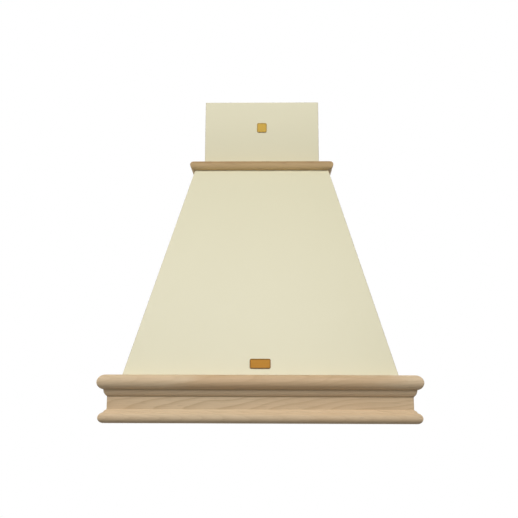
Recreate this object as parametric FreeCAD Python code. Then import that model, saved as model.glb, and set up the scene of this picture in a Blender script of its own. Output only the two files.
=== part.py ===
"""Wooden range hood cover: a painted canopy and chimney trimmed with bare wood mouldings.

The cover hangs on a wall cleat and carries an extractor insert: a steel fascia with two
baffle filters, two lamps and five push buttons, and above it a blower box with its fan and
outlet collar.  The chimney slides in the canopy's neck to meet the ceiling.

Millimetres.  X runs across the hood, the wall is the plane y = 0 and the hood stands out
from it towards -Y, and +Z is up from the cornice's underside.
"""

import FreeCAD, Part
import math
import os

from FreeCAD import Vector

# ------------------------------------------------------------------ overall sizes
hood_width = 600.0  # across the cornice's top bead
hood_depth = 500.0  # wall to the front of that bead
cornice_height = 88.0
canopy_rise = 463.0  # cornice's top to the canopy's top edge
chimney_width = 264.0
chimney_depth = 250.0
chimney_show = 152.0  # chimney standing above the neck moulding
chimney_hidden = 186.0  # chimney inside the neck and the canopy
chimney_slide_length = 90.0  # how far the chimney can rise

# ------------------------------------------------------------------ boards and battens
canopy_board = 18.0
chimney_board = 12.0
skirt_board = 18.0
skirt_height = 70.0  # upright boards behind the cornice, under the canopy boards
base_board = 15.0
base_board_z = 24.0  # underside of the base board, above the cornice's underside
corner_batten = 22.0
stile_width = 36.0
stile_thickness = 18.0
rail_height = 70.0
chimney_rail_height = 40.0
base_cleat_height = 20.0
stop_cleat = 12.0
stop_cleat_margin = 40.0  # from the chimney's front and back to the cleats' ends
guide_margin = 14.0  # from the throat's corners and top to the guides' ends
cleat_thickness = 18.0
cleat_length = 300.0
hanging_cleat_height = 60.0
wall_cleat_height = 60.0  # below the bevel
felt_thickness = 0.9
felt_height = 30.0

# ------------------------------------------------------------------ clearances
chimney_gap = 1.2  # round the chimney in the neck
slide_gap = 0.3  # between things that slide or turn on each other
insert_gap = 3.0  # round the insert's fascia inside the skirt
cutout_gap = 2.0  # round the tray in the base board's cut-out
filter_gap = 1.0  # round each filter in the fascia
batten_gap = 2.0  # between the battens' tops and the throat
flap_gap = 1.0  # round the flaps in the collar
past = 1.0  # how far a cutting tool runs past the face it cuts

# ------------------------------------------------------------------ cornice profile
cornice_depth = 31.0  # thickness of the moulding over the skirt
canopy_setback = 39.0  # top bead's front to the canopy's face at the cornice's top
top_bead_radius = 13.75
upper_ovolo_height = 12.2  # from the bead's lowest level down to the frieze
upper_ovolo_inset = 10.9
frieze_inset = 16.8
lower_ovolo_height = 5.0  # from the frieze down to the bottom bead's highest level
lower_ovolo_inset = 11.5
ovolo_bulge = 0.12  # how far the ovolos stand out from their chords, as a share of the chord
bottom_bead_radius = 9.8
bottom_bead_inset = 3.4

# ------------------------------------------------------------------ neck moulding
neck_moulding_height = 20.0
neck_nose = 10.7  # how far the rounded nose stands out from the canopy

# ------------------------------------------------------------------ plates
name_plate_width = 40.0
name_plate_height = 20.0
name_plate_rise = 21.0  # plate's centre above the cornice's top
badge_side = 22.5
badge_drop = 63.0  # badge's centre below the chimney's top
plate_thickness = 1.5
plate_corner = 3.5  # radius of the plates' corners
plate_border = 1.6
plate_recess = 0.4

# ------------------------------------------------------------------ insert
sheet = 1.2
fascia_sheet = 1.5
fascia_back = 42.0  # wall to the fascia's rear edge
fascia_length = 354.0
fascia_flange = 10.0  # what laps under the base board
fascia_corner = 8.0
tray_height = 62.0
filter_rear = 8.0  # rear edge of the fascia's filter openings inside the tray
filter_length = 258.0
centre_rib = 8.0
filter_height = 12.0
filter_bar = 12.0
filter_front_bar = 30.0
filter_skin = 1.0
baffle_width = 20.0
baffle_pitch = 28.0
baffle_rise = 6.0
baffle_sheet = 0.8
baffle_bend = 1.5
baffle_lap = 6.0  # how far the baffles reach under the frame's front bar
tab_length = 5.0  # hooks at the filter's rear edge, which rest on the fascia
tab_width = 18.0
tab_thickness = 1.6
latch_width = 20.0
latch_length = 22.0
latch_sheet = 2.0
latch_reach = 4.0  # how far the bolt laps over the fascia
latch_travel = 5.0
pull_length = 9.0
pull_drop = 4.0

# ------------------------------------------------------------------ lamps and buttons
lamp_offset = 150.0
lamp_radius = 25.5
lamp_rim = 6.0
lamp_rim_thickness = 1.5
lamp_height = 40.0
lamp_wall = 1.5
lens_thickness = 2.5
control_setback = 34.0  # lamps' and buttons' line behind the filters' front edge
button_count = 5
button_pitch = 22.0
button_width = 15.0
button_depth = 9.0
button_stand = 2.5
button_travel = 2.0
button_collar = 1.0
button_collar_height = 2.0
button_edge = 1.0
button_shelf = 3.0  # ledge under the buttons' collars, above the fascia
switch_height = 18.0
switch_margin = 6.0
switch_lip = 3.0  # how far the switch block laps over the fascia's window

# ------------------------------------------------------------------ blower
blower_width = 300.0
blower_depth = 250.0
blower_height = 210.0
blower_gap = 8.0  # behind the blower box, to the back frame
air_inlet_width = 240.0
air_inlet_depth = 180.0
collar_radius = 75.0
collar_height = 44.0
collar_wall = 1.2
collar_flange = 12.0  # outside the collar's wall
collar_flange_thickness = 1.5
flap_sheet = 2.0
flap_ledge = 2.3  # the flange inside the collar's wall, under the flaps
pin_radius = 1.0
pin_clearance = 0.1
barrel_radius = 3.0
scroll_radius = 72.0
scroll_growth = 11.0  # added to the radius each quarter turn
scroll_tongue = 15.0
scroll_width = 128.0
scroll_wall = 2.0
scroll_foot = 4.0  # under the scroll, to the tray's top
inlet_radius = 52.0
wheel_radius = 64.0
wheel_width = 112.0
wheel_sheet = 2.0  # disc and end rings
blade_count = 24
blade_depth = 13.0
blade_sheet = 1.0
blade_curve = 24.0  # radius of a blade's back
blade_sweep = 7.0  # degrees from a blade's inner edge to its outer one
blade_margin = 0.5  # blades' ends inside the rings' edges
hub_radius = 10.0
hub_length = 10.0
shaft_radius = 4.0
shaft_clearance = 0.05
shaft_end = 5.0  # shaft beyond the hub and beyond the motor
motor_radius = 40.0
motor_gap = 7.0  # from the wheel's disc
motor_boss_radius = 24.0
motor_arm = 10.0
motor_arm_sheet = 2.0
motor_arm_count = 3
terminal_width = 50.0
terminal_height = 28.0
terminal_corner = 4.0
gland_setback = 16.0  # inside the chimney's left and front boards, so that a cable can rise
gland_radius = 8.0  # to the corners of its hexagon
gland_bore = 3.6
gland_length = 14.0

# ------------------------------------------------------------------ holes for wall screws
wall_hole_radius = 2.75
wall_hole_pitch = 240.0
lower_hole_pitch = 400.0

# ------------------------------------------------------------------ levels and places
neck_z = cornice_height + canopy_rise
neck_top_z = neck_z + neck_moulding_height
chimney_top_z = neck_top_z + chimney_show
chimney_foot_z = neck_top_z - chimney_hidden
skirt_half = hood_width / 2 - cornice_depth
skirt_front = hood_depth - cornice_depth
skirt_inner_half = skirt_half - skirt_board
skirt_inner_front = skirt_front - skirt_board
base_half = hood_width / 2 - canopy_setback
base_front = hood_depth - canopy_setback
throat_half = chimney_width / 2 + chimney_gap
throat_front = chimney_depth + chimney_gap
frame_top_z = chimney_foot_z - slide_gap  # the chimney's foot rests on the back frame
frame_face_y = -cleat_thickness - stile_thickness  # front of the back frame
base_top_z = base_board_z + base_board
tray_top_z = base_board_z + tray_height
blower_top_z = tray_top_z + blower_height
blower_back_y = frame_face_y - blower_gap
collar_y = -chimney_depth / 2


def lean(outer_start, inner_end):
    """How far a canopy board leans, so that its outer face starts at outer_start at the
    cornice's top and its inner face ends at inner_end at the neck."""
    run = outer_start - inner_end
    reach = math.hypot(run, canopy_rise)
    return math.acos(canopy_board / reach) - math.atan2(canopy_rise, run)


side_lean = lean(base_half, throat_half)
front_lean = lean(base_front, throat_front)
side_run = canopy_board / math.cos(side_lean)  # board thickness measured level
front_run = canopy_board / math.cos(front_lean)


def canopy_half(z):
    """Half the canopy's outer width at height z."""
    return base_half - (z - cornice_height) * math.tan(side_lean)


def canopy_front(z):
    """How far the canopy's outer face stands out from the wall at height z."""
    return base_front - (z - cornice_height) * math.tan(front_lean)


def inner_half(z):
    return canopy_half(z) - side_run


def inner_front(z):
    return canopy_front(z) - front_run


# ------------------------------------------------------------------ shape helpers
def block(x0, x1, y0, y1, z0, z1):
    """A box between two corners, given in any order."""
    low = Vector(min(x0, x1), min(y0, y1), min(z0, z1))
    return Part.makeBox(abs(x1 - x0), abs(y1 - y0), abs(z1 - z0), low)


def rounded_block(x0, x1, y0, y1, z0, z1, radius):
    """A box whose upright edges are rounded."""
    solid = block(x0, x1, y0, y1, z0, z1)
    upright = [e for e in solid.Edges if abs(e.tangentAt(e.FirstParameter).z) > 0.5]
    return solid.makeFillet(radius, upright)


def ruled_board(corners0, z0, corners1, z1):
    """A board between two level quads of matching corners, with six flat faces."""
    low = [Vector(x, y, z0) for x, y in corners0]
    high = [Vector(x, y, z1) for x, y in corners1]
    sides = [[low[i], low[i - 3], high[i - 3], high[i]] for i in range(4)]
    faces = [Part.Face(Part.makePolygon(loop + loop[:1])) for loop in [low, high] + sides]
    solid = Part.Solid(Part.Shell(faces))
    if solid.Volume < 0:
        solid.reverse()
    return solid


def rectangle(x0, x1, y0, y1):
    """Corners of a level rectangle, for ruled_board."""
    return [(x0, y0), (x1, y0), (x1, y1), (x0, y1)]


def prism(points, along):
    """A flat polygon pushed along a vector."""
    return Part.Face(Part.makePolygon(points + points[:1])).extrude(along)


def cylinder(radius, start, along, height):
    return Part.makeCylinder(radius, height, start, along)


def mirrored(shape):
    """The same piece on the hood's other side."""
    return shape.mirror(Vector(0, 0, 0), Vector(1, 0, 0))


def both_sides(shape):
    return [shape, mirrored(shape)]


def row(count, pitch):
    """Places at a pitch, centred on zero."""
    return [(i - (count - 1) / 2) * pitch for i in range(count)]


def profile_face(outline, place):
    """The face inside an outline of (inset, z) points.  place(inset, z) gives the point in
    space.  An entry of two points is an arc: through the first, to the second."""
    edges = []
    here = place(*outline[0])
    for step in outline[1:] + outline[:1]:
        if isinstance(step[0], tuple):
            through, end = place(*step[0]), place(*step[1])
            edges.append(Part.Arc(here, through, end).toShape())
        else:
            end = place(*step)
            edges.append(Part.LineSegment(here, end).toShape())
        here = end
    return Part.Face(Part.Wire(edges))


def three_boards(z0, half0, front0, z1, half1, front1, side_thick, front_thick):
    """Front, left and right boards of a box open at the wall, mitred at the front corners.
    The thicknesses are measured level, so a leaning box stays mitred from end to end."""

    def front_quad(half, front):
        inner, face = half - side_thick, front_thick - front
        return [(-half, -front), (half, -front), (inner, face), (-inner, face)]

    def side_quad(half, front):
        inner, face = half - side_thick, front_thick - front
        return [(half, -front), (half, 0), (inner, 0), (inner, face)]

    front = ruled_board(front_quad(half0, front0), z0, front_quad(half1, front1), z1)
    right = ruled_board(side_quad(half0, front0), z0, side_quad(half1, front1), z1)
    return front, mirrored(right), right


def mitred_moulding(outline, half, front, depth, height):
    """Front, left and right lengths of a moulding round three sides, mitred at 45 degrees.
    half and front place the profile's inset 0, and depth and height cover the profile."""
    front_bar = profile_face(outline, lambda u, z: Vector(-half, u - front, z))
    side_bar = profile_face(outline, lambda u, z: Vector(half - u, -front, z))
    inner_x, inner_y, low = half - depth, depth - front, -past
    outer_corners = [Vector(-half, -front, low), Vector(half, -front, low)]
    inner_corners = [Vector(inner_x, inner_y, low), Vector(-inner_x, inner_y, low)]
    side_plan = [outer_corners[1], Vector(half, 0, low), Vector(inner_x, 0, low), inner_corners[0]]
    up = Vector(0, 0, height + 2 * past)
    front_piece = front_bar.extrude(Vector(2 * half, 0, 0)).common(prism(outer_corners + inner_corners, up))
    right_piece = side_bar.extrude(Vector(0, front, 0)).common(prism(side_plan, up))
    return front_piece, mirrored(right_piece), right_piece


# ------------------------------------------------------------------ the painted cover
def canopy():
    front, left, right = three_boards(
        skirt_height,
        canopy_half(skirt_height),
        canopy_front(skirt_height),
        neck_z,
        canopy_half(neck_z),
        canopy_front(neck_z),
        side_run,
        front_run,
    )
    return {"canopy_front_board": front, "canopy_left_board": left, "canopy_right_board": right}


def chimney():
    """Three boards, two rails across their open back and the cleats that stop them rising."""
    half, front = chimney_width / 2, chimney_depth
    boards = three_boards(
        chimney_foot_z, half, front, chimney_top_z, half, front, chimney_board, chimney_board
    )
    inner = half - chimney_board
    rails = [
        block(-inner, inner, -chimney_board, 0, z, z + chimney_rail_height)
        for z in (chimney_foot_z, chimney_top_z - chimney_rail_height)
    ]
    y0, y1 = stop_cleat_margin - chimney_depth, -stop_cleat_margin
    stop = block(half, half + stop_cleat, y0, y1, chimney_foot_z, chimney_foot_z + stop_cleat)
    return {
        "chimney_front_board": boards[0],
        "chimney_left_board": boards[1],
        "chimney_right_board": boards[2],
        "chimney_back_rails": Part.makeCompound(rails),
        "chimney_stop_cleats": Part.makeCompound(both_sides(stop)),
    }


def corner_battens():
    """Glued up the inside of the two front corners, until they near the chimney."""
    reach = corner_batten + batten_gap
    top = max(neck_z - reach / math.tan(side_lean), neck_z - reach / math.tan(front_lean))

    def quad(z):
        x, y = inner_half(z), -inner_front(z)
        return rectangle(x - corner_batten, x, y, y + corner_batten)

    batten = ruled_board(quad(skirt_height), skirt_height, quad(top), top)
    return {"corner_battens": Part.makeCompound(both_sides(batten))}


def back_frame():
    """Stiles inside the side boards' rear edges and a rail between them."""
    y0, y1 = frame_face_y, -cleat_thickness
    stile_top = min(frame_top_z, neck_z - (stile_width + batten_gap) / math.tan(side_lean))
    rail_foot = frame_top_z - rail_height

    def stile_quad(z):
        return rectangle(inner_half(z) - stile_width, inner_half(z), y0, y1)

    def rail_quad(z):
        half = inner_half(z) - stile_width
        return rectangle(-half, half, y0, y1)

    stile = ruled_board(stile_quad(skirt_height), skirt_height, stile_quad(stile_top), stile_top)
    rail = ruled_board(rail_quad(rail_foot), rail_foot, rail_quad(frame_top_z), frame_top_z)
    return {"back_stiles": Part.makeCompound(both_sides(stile)), "back_rail": rail}


def cleats():
    """The hanging cleat, glued to the back rail, hooks over the wall cleat on a bevel."""
    hook_z = frame_top_z - hanging_cleat_height
    wall_foot = hook_z - wall_cleat_height
    along, out = Vector(cleat_length, 0, 0), Vector(0, -1, 0)
    start, t = -cleat_length / 2, cleat_thickness
    bevel = [Vector(start, 0, hook_z), Vector(start, -t, hook_z + t)]
    hanging = prism(bevel + [Vector(start, -t, frame_top_z), Vector(start, 0, frame_top_z)], along)
    wall = prism(bevel + [Vector(start, -t, wall_foot), Vector(start, 0, wall_foot)], along)
    for x in row(2, wall_hole_pitch):
        start = Vector(x, past, hook_z - wall_cleat_height / 2)
        wall = wall.cut(cylinder(wall_hole_radius, start, out, t + 2 * past))
    return {"hanging_cleat": hanging, "wall_cleat": wall}


def neck_guides():
    """Tapered blocks between the chimney and the leaning boards, faced with thin felt."""
    foot = chimney_foot_z + stop_cleat + chimney_slide_length + slide_gap
    top = neck_z - guide_margin
    y0, y1 = guide_margin - throat_front, -guide_margin
    x1 = throat_half - guide_margin

    def side_quad(z):
        return rectangle(throat_half, inner_half(z), y0, y1)

    def front_quad(z):
        return rectangle(-x1, x1, -inner_front(z), -throat_front)

    side = ruled_board(side_quad(foot), foot, side_quad(top), top)
    front = ruled_board(front_quad(foot), foot, front_quad(top), top)
    side_felt = block(throat_half - felt_thickness, throat_half, y0, y1, foot, foot + felt_height)
    front_felt = block(-x1, x1, -throat_front, felt_thickness - throat_front, foot, foot + felt_height)
    return {
        "neck_guides": Part.makeCompound(both_sides(side) + [front]),
        "neck_felts": Part.makeCompound(both_sides(side_felt) + [front_felt]),
    }


# ------------------------------------------------------------------ foot of the cover
def skirt():
    front, left, right = three_boards(
        0, skirt_half, skirt_front, skirt_height, skirt_half, skirt_front, skirt_board, skirt_board
    )
    rail = block(-skirt_inner_half, skirt_inner_half, -skirt_board, 0, 0, skirt_height)
    z = (base_top_z + skirt_height) / 2
    for x in row(2, lower_hole_pitch):
        hole = cylinder(wall_hole_radius, Vector(x, past, z), Vector(0, -1, 0), skirt_board + 2 * past)
        rail = rail.cut(hole)
    return {
        "skirt_front_board": front,
        "skirt_left_board": left,
        "skirt_right_board": right,
        "skirt_back_rail": rail,
    }


def base():
    """Board under the cover with the insert's cut-out, and the cleats that hold it down."""
    half, rear, front = tray_outline(cutout_gap)
    x, y = skirt_inner_half, -skirt_inner_front
    board = block(-x, x, y, -skirt_board, base_board_z, base_top_z)
    board = board.cut(block(-half, half, front, rear, base_board_z - past, base_top_z + past))
    cleat = block(half, x, y, -skirt_board, base_top_z, base_top_z + base_cleat_height)
    return {"base_board": board, "base_cleats": Part.makeCompound(both_sides(cleat))}


# ------------------------------------------------------------------ mouldings
def cornice_outline(back):
    """The cornice's section as (inset, z): a bead over an ovolo, a flat frieze, then a
    smaller ovolo over the bottom bead."""
    r, b = top_bead_radius, bottom_bead_radius
    top_z, bottom_x = cornice_height - r, bottom_bead_inset + b
    nose = (upper_ovolo_inset, top_z - math.sqrt(r**2 - (r - upper_ovolo_inset) ** 2))
    foot = (lower_ovolo_inset, b + math.sqrt(b**2 - (bottom_x - lower_ovolo_inset) ** 2))
    frieze_top = (frieze_inset, cornice_height - 2 * r - upper_ovolo_height)
    frieze_foot = (frieze_inset, 2 * b + lower_ovolo_height)
    return [
        (back, cornice_height),
        (r, cornice_height),
        ((0, top_z), nose),
        (ovolo_crown(nose, frieze_top), frieze_top),
        frieze_foot,
        (ovolo_crown(frieze_foot, foot), foot),
        ((bottom_bead_inset, b), (bottom_x, 0)),
        (back, 0),
    ]


def ovolo_crown(top, foot):
    """Middle of the arc from an ovolo's top down to its foot, standing out from the chord."""
    run, rise = foot[0] - top[0], foot[1] - top[1]
    return (top[0] + foot[0]) / 2 + ovolo_bulge * rise, (top[1] + foot[1]) / 2 - ovolo_bulge * run


def cornice():
    """Laid against the skirt, and at its top scribed to the leaning canopy boards."""
    back = canopy_setback + past
    outline = cornice_outline(back)
    pieces = mitred_moulding(outline, hood_width / 2, hood_depth, back, cornice_height)
    skirt_core = block(-skirt_half, skirt_half, -skirt_front, 0, 0, skirt_height)

    def canopy_quad(z):
        return rectangle(-canopy_half(z), canopy_half(z), -canopy_front(z), 0)

    canopy_core = ruled_board(
        canopy_quad(skirt_height), skirt_height, canopy_quad(cornice_height), cornice_height
    )
    pieces = [piece.cut(skirt_core).cut(canopy_core) for piece in pieces]
    return {"cornice_front": pieces[0], "cornice_left": pieces[1], "cornice_right": pieces[2]}


def neck_moulding():
    """Strips with a rounded nose, laid flat on the canopy boards' top edges."""
    half, front = canopy_half(neck_z) + neck_nose, canopy_front(neck_z) + neck_nose
    depth = max(half - throat_half, front - throat_front)
    r = neck_moulding_height / 2
    outline = [(depth, neck_top_z), (r, neck_top_z), ((0, neck_z + r), (r, neck_z)), (depth, neck_z)]
    pieces = mitred_moulding(outline, half, front, depth, neck_top_z)
    throat = block(-throat_half, throat_half, -throat_front, past, neck_z - past, neck_top_z + past)
    pieces = [piece.cut(throat) for piece in pieces]
    return {
        "neck_moulding_front": pieces[0],
        "neck_moulding_left": pieces[1],
        "neck_moulding_right": pieces[2],
    }


# ------------------------------------------------------------------ blank plates
def blank_plate(width, height):
    """A plate lying on the plane z = 0 with a raised border round a bare field."""
    w, h, b = width / 2, height / 2, plate_border
    plate = rounded_block(-w, w, -h, h, 0, plate_thickness, plate_corner)
    floor = plate_thickness - plate_recess
    field = block(b - w, w - b, b - h, h - b, floor, plate_thickness + past)
    return plate.cut(field)


def plates():
    name_plate = blank_plate(name_plate_width, name_plate_height)
    name_plate.rotate(Vector(0, 0, 0), Vector(1, 0, 0), 90 - math.degrees(front_lean))
    z = cornice_height + name_plate_rise
    name_plate.translate(Vector(0, -canopy_front(z), z))
    badge = blank_plate(badge_side, badge_side)
    badge.rotate(Vector(0, 0, 0), Vector(1, 0, 0), 90)
    badge.translate(Vector(0, -chimney_depth, chimney_top_z - badge_drop))
    return {"canopy_plate": name_plate, "chimney_badge": badge}


# ------------------------------------------------------------------ the insert's steelwork
fascia_half = skirt_inner_half - insert_gap
fascia_front = -fascia_back - fascia_length
fascia_z = base_board_z - fascia_sheet


def tray_outline(grow=0.0):
    """Half width, rear y and front y of the tray's outside, grown all round."""
    lap = fascia_flange + cutout_gap - grow
    return fascia_half - lap, -fascia_back - lap, fascia_front + lap


def filter_opening():
    """Inner x, outer x, rear y and front y of the right-hand filter opening."""
    half, rear, _ = tray_outline()
    rear_y = rear - filter_rear
    return centre_rib / 2, half - sheet - 2 * filter_gap, rear_y, rear_y - filter_length - 2 * filter_gap


def filter_outline():
    """Inner x, outer x, rear y and front y of the right-hand filter."""
    x0, x1, rear, front = filter_opening()
    return x0 + filter_gap, x1 - filter_gap, rear - filter_gap, front + filter_gap


def control_y():
    """The line on which the lamps and the buttons lie."""
    return filter_opening()[3] - control_setback


def fascia():
    up, low, height = Vector(0, 0, 1), fascia_z - past, fascia_sheet + 2 * past
    plate = rounded_block(
        -fascia_half, fascia_half, fascia_front, -fascia_back, fascia_z, base_board_z, fascia_corner
    )
    cuts = both_sides(block(*filter_opening(), low, low + height))
    cuts += both_sides(cylinder(lamp_radius + slide_gap, Vector(lamp_offset, control_y(), low), up, height))
    cuts.append(switch_window(0, low, low + height))
    for tool in cuts:
        plate = plate.cut(tool)
    return {"insert_fascia": plate}


def tray():
    """Shallow sheet-steel tray, open below, with the air inlet to the blower in its top."""
    half, rear, front = tray_outline()
    s, top = sheet, tray_top_z
    body = block(-half, half, front, rear, base_board_z, top)
    inside = block(s - half, half - s, front + s, rear - s, base_board_z - past, top - s)
    x, y, d = air_inlet_width / 2, blower_back_y - blower_depth / 2, air_inlet_depth / 2
    inlet = block(-x, x, y - d, y + d, top - s - past, top + past)
    return {"insert_tray": body.cut(inside).cut(inlet)}


# ------------------------------------------------------------------ filters
def filters():
    frame, latch = filter_frame(), filter_latch()
    baffles = Part.makeCompound(filter_baffles())
    return {
        "filter_frame_right": frame,
        "filter_frame_left": mirrored(frame),
        "filter_baffles_right": baffles,
        "filter_baffles_left": mirrored(baffles),
        "filter_latch_right": latch,
        "filter_latch_left": mirrored(latch),
    }


def filter_frame():
    """The right-hand filter's folded channel frame, with hook tabs at its rear edge."""
    x0, x1, rear, front = filter_outline()
    z0, z1, s, b = fascia_z, fascia_z + filter_height, filter_skin, filter_bar
    ring = block(x0, x1, front, rear, z0, z1)
    ring = ring.cut(block(x0 + b, x1 - b, front + filter_front_bar, rear - b, z0 - past, z1 + past))
    ring = ring.cut(block(x0 + s, x1 - s, front + s, rear - s, z0 + s, z1 - s))
    tab_z = base_board_z + slide_gap
    for x in (x0 + tab_width, x1 - 2 * tab_width):
        tab = block(x, x + tab_width, rear - s / 2, rear + tab_length, tab_z, tab_z + tab_thickness)
        ring = ring.fuse(tab)
    bolt_x0, bolt_x1, bolt_z0, bolt_z1 = latch_outline(slide_gap)
    bolt_hole = block(bolt_x0, bolt_x1, front - past, front + s + past, bolt_z0, bolt_z1)
    y0, y1 = pull_ends()
    slot = block(bolt_x0, bolt_x1, y0 - slide_gap, y1 + latch_travel + slide_gap, z0 - past, z0 + s + past)
    return ring.cut(bolt_hole).cut(slot).removeSplitter()


def latch_outline(grow=0.0):
    """Side to side and foot to top of the latch's bolt, grown all round."""
    x0, x1, _, _ = filter_outline()
    centre, half, z = (x0 + x1) / 2, latch_width / 2 + grow, base_board_z + slide_gap
    return centre - half, centre + half, z - grow, z + latch_sheet + grow


def pull_ends():
    """Front and rear of the latch's finger pull, in the middle of the frame's front bar."""
    front = filter_outline()[3] + (filter_front_bar - pull_length - latch_travel) / 2
    return front, front + pull_length


def filter_latch():
    """Sliding bolt with a finger pull, which holds the filter's front edge up."""
    x0, x1, z0, z1 = latch_outline()
    y = filter_outline()[3] - latch_reach
    bolt = block(x0, x1, y, y + latch_length, z0, z1)
    pull = block(x0, x1, *pull_ends(), fascia_z - pull_drop, z0)
    return bolt.fuse(pull).removeSplitter()


def filter_baffles():
    """Two layers of folded channels: the lower ones face up and the upper ones face down."""
    x0, x1, rear, front = filter_outline()
    y0, y1 = front + filter_front_bar - baffle_lap, rear - filter_skin
    z_low, z_high = fascia_z + filter_skin, fascia_z + filter_height - filter_skin
    count = int((x1 - x0 - 2 * filter_bar) / baffle_pitch)
    lower = [(x0 + x1) / 2 + x for x in row(count, baffle_pitch)]
    upper = [(x0 + x1) / 2 + x for x in row(count + 1, baffle_pitch)]
    return [channel(x, z_low, 1, y0, y1) for x in lower] + [channel(x, z_high, -1, y0, y1) for x in upper]


def channel(x, z, up, y0, y1):
    """One baffle: a shallow channel whose edges turn up (up = 1) or down (up = -1)."""
    w, h, t, bend = baffle_width / 2, baffle_rise, baffle_sheet, baffle_bend
    inner_bend = bend - t * (2 - math.sqrt(2))  # keeps the sheet's thickness round the bend
    half = [(w - bend, 0), (w, bend), (w, h), (w - t, h), (w - t, t + inner_bend), (w - t - inner_bend, t)]
    outline = half + [(-u, v) for u, v in reversed(half)]
    points = [Vector(x + u, y0, z + up * v) for u, v in outline]
    return prism(points, Vector(0, y1 - y0, 0))


# ------------------------------------------------------------------ lamps and switches
def lamps():
    """Each spot lamp's can, in one piece with its rim, and the lens that rests on the rim."""
    up, at = Vector(0, 0, 1), Vector(lamp_offset, control_y(), fascia_z)
    bore = lamp_radius - lamp_wall
    rim_foot = at - up * lamp_rim_thickness
    can = cylinder(lamp_radius, at, up, lamp_height)
    can = can.fuse(cylinder(lamp_radius + lamp_rim, rim_foot, up, lamp_rim_thickness)).removeSplitter()
    can = can.cut(cylinder(bore, at, up, lamp_height - lamp_wall))
    can = can.cut(cylinder(bore - lamp_wall, rim_foot, up, lamp_rim_thickness))
    lens = cylinder(bore - slide_gap, at, up, lens_thickness)
    return {
        "lamp_cans": Part.makeCompound(both_sides(can)),
        "lamp_lenses": Part.makeCompound(both_sides(lens)),
    }


def switch_window(shrink, z0, z1):
    """The part of the switch block that comes down through the fascia."""
    x = switch_half - switch_lip - shrink
    depth = button_depth / 2 + switch_margin - switch_lip - shrink
    return block(-x, x, control_y() - depth, control_y() + depth, z0, z1)


button_xs = row(button_count, button_pitch)
switch_half = button_xs[-1] + button_width / 2 + switch_margin
shelf_z = base_board_z + button_shelf


def switches():
    """The switch block behind the fascia, and the push caps that slide in it.  A collar
    keeps each cap from falling out."""
    y, w, d, g, c = control_y(), button_width / 2, button_depth / 2, slide_gap, button_collar
    depth = d + switch_margin
    top = base_board_z + switch_height
    body = block(-switch_half, switch_half, y - depth, y + depth, base_board_z, top)
    body = body.fuse(switch_window(g, fascia_z, base_board_z)).removeSplitter()
    collar_foot = shelf_z + g
    collar_top = collar_foot + button_collar_height
    well_top = collar_top + button_travel + g
    pieces = {}
    for i, x in enumerate(button_xs):
        window = block(x - w - g, x + w + g, y - d - g, y + d + g, fascia_z - past, shelf_z)
        well = block(x - w - c - g, x + w + c + g, y - d - c - g, y + d + c + g, shelf_z, well_top)
        body = body.cut(window).cut(well)
        cap = block(x - w, x + w, y - d, y + d, fascia_z - button_stand, collar_foot)
        rim = [e for e in cap.Edges if e.BoundBox.ZMax < fascia_z]
        collar = block(x - w - c, x + w + c, y - d - c, y + d + c, collar_foot, collar_top)
        pieces[f"button_{i + 1}"] = cap.makeFillet(button_edge, rim).fuse(collar).removeSplitter()
    pieces["switch_block"] = body
    return pieces


# ------------------------------------------------------------------ blower
scroll_y = collar_y - (scroll_tongue + scroll_radius + 3 * scroll_growth) / 2
scroll_z = tray_top_z + scroll_foot + scroll_radius + scroll_growth
wheel_centre = Vector(0, scroll_y, scroll_z)


def blower_box():
    """Sheet-steel box over the tray's air inlet, open at its foot and under the collar."""
    w, y1, y0, s = blower_width / 2, blower_back_y, blower_back_y - blower_depth, sheet
    box = block(-w, w, y0, y1, tray_top_z, blower_top_z)
    box = box.cut(block(s - w, w - s, y0 + s, y1 - s, tray_top_z - past, blower_top_z - s))
    start = Vector(0, collar_y, blower_top_z - s - past)
    return {"blower_box": box.cut(cylinder(collar_bore, start, Vector(0, 0, 1), s + 2 * past))}


def scroll_outline(inset, x):
    """The spiral casing's outline at one x: three arcs, each a quarter turn or so and each
    larger than the last, with the outlet going up on the wall side.  inset is for the
    wrap's inner face."""
    y, z, r, g = scroll_y, scroll_z, scroll_radius - inset, scroll_growth
    top = blower_top_z - sheet
    tongue = scroll_tongue + inset
    start = math.degrees(math.acos(tongue / r))
    arcs = [(y, z, r, start, 180), (y + g, z, r + g, 180, 270), (y + g, z + g, r + 2 * g, 270, 360)]

    def at(centre_y, centre_z, radius, degrees):
        turn = math.radians(degrees)
        return Vector(x, centre_y + radius * math.cos(turn), centre_z + radius * math.sin(turn))

    edges = [Part.LineSegment(Vector(x, y + tongue, top), at(y, z, r, start)).toShape()]
    for cy, cz, radius, begin, end in arcs:
        ends = [at(cy, cz, radius, turn) for turn in (begin, (begin + end) / 2, end)]
        edges.append(Part.Arc(*ends).toShape())
    last = ends[-1]
    edges.append(Part.LineSegment(last, Vector(x, last.y, top)).toShape())
    edges.append(Part.LineSegment(Vector(x, last.y, top), Vector(x, y + tongue, top)).toShape())
    return Part.Wire(edges)


def scroll():
    """Spiral casing: a bent wrap between two side plates, each with a round air inlet."""
    ahead, half, w = Vector(1, 0, 0), scroll_width / 2, scroll_wall
    run = ahead * (scroll_width - 2 * w)
    outside = Part.Face(scroll_outline(0, w - half)).extrude(run)
    inside = Part.Face(scroll_outline(w, w - half)).extrude(run)
    plate = Part.Face(scroll_outline(0, half - w)).extrude(ahead * w)
    plate = plate.cut(cylinder(inlet_radius, wheel_centre, ahead, half + past))
    return {"scroll_wrap": outside.cut(inside), "scroll_side_plates": Part.makeCompound(both_sides(plate))}


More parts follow.
